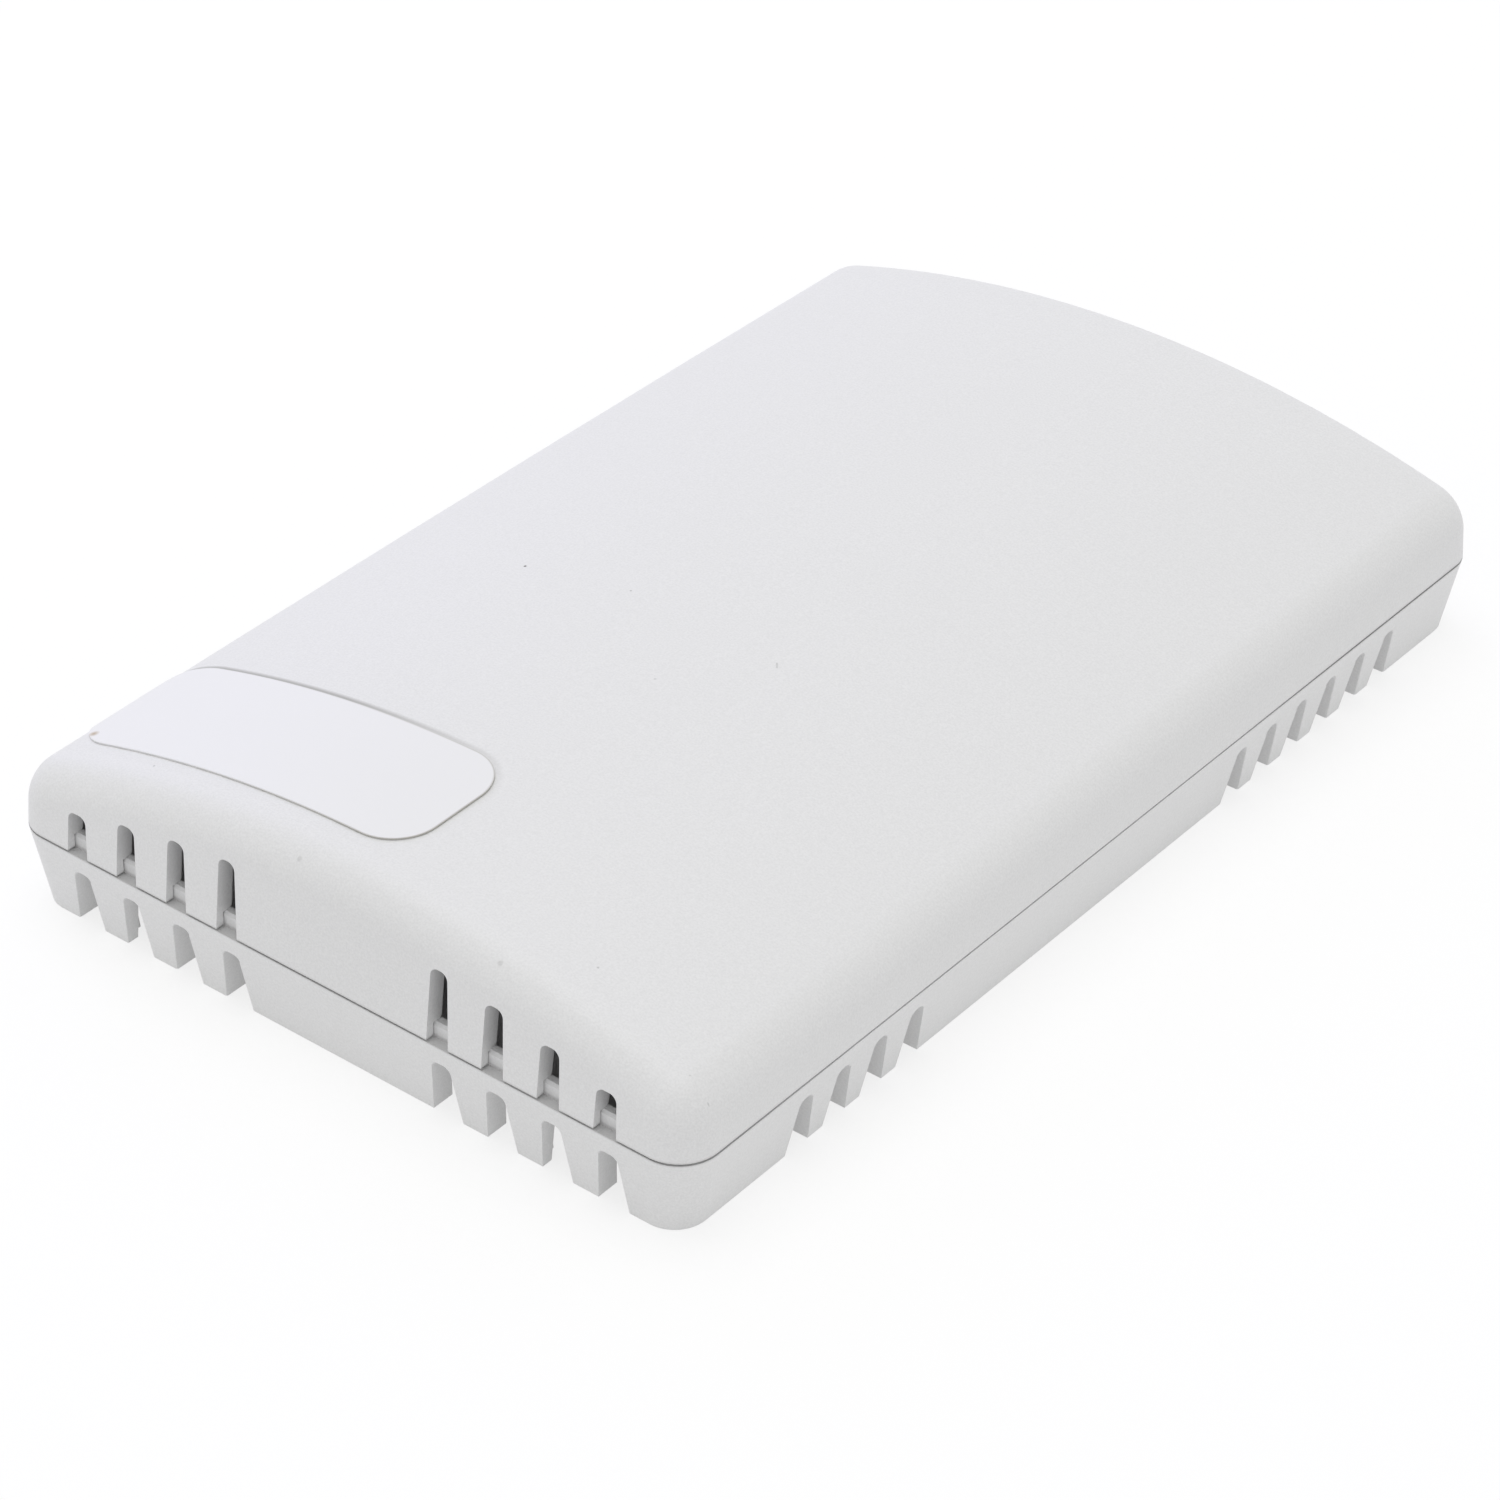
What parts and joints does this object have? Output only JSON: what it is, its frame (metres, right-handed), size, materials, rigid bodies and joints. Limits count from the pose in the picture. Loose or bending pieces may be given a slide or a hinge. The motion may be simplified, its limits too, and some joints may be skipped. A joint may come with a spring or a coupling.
{
  "type": "room temperature sensor",
  "caption": "Wall-mounted room temperature sensor: arched white vented cover on a castellated base, with a thermistor board and wire terminal inside.",
  "frame": {"origin": "centre of the back, on the wall plane", "axes": "+Z out of the wall through the cover, +Y up the wall as mounted, +X right as the reader faces the cover"},
  "size_m": [0.077, 0.12, 0.0204],
  "materials": {
    "housing": "moulded white ABS, fine satin texture",
    "label_film": "white polyester film, semi-gloss, blank",
    "board": "glass-epoxy board under green solder resist",
    "steel": "zinc-plated steel",
    "terminal_plastic": "moulded green polyamide",
    "plated_brass": "nickel-plated brass",
    "tinned_wire": "tinned copper wire",
    "bead_epoxy": "black epoxy",
    "solder": "bright tin solder"
  },
  "bodies": {
    "root": {"front_cover": "housing", "rear_base": "housing", "face_label": "label_film", "circuit_board": "board", "board_screws": "steel", "terminal_housing": "terminal_plastic", "terminal_cages": "plated_brass", "terminal_screws": "steel", "terminal_pins": "tinned_wire", "thermistor_leads": "tinned_wire", "thermistor_bead": "bead_epoxy", "solder_joints": "solder"}
  },
  "joints": []
}
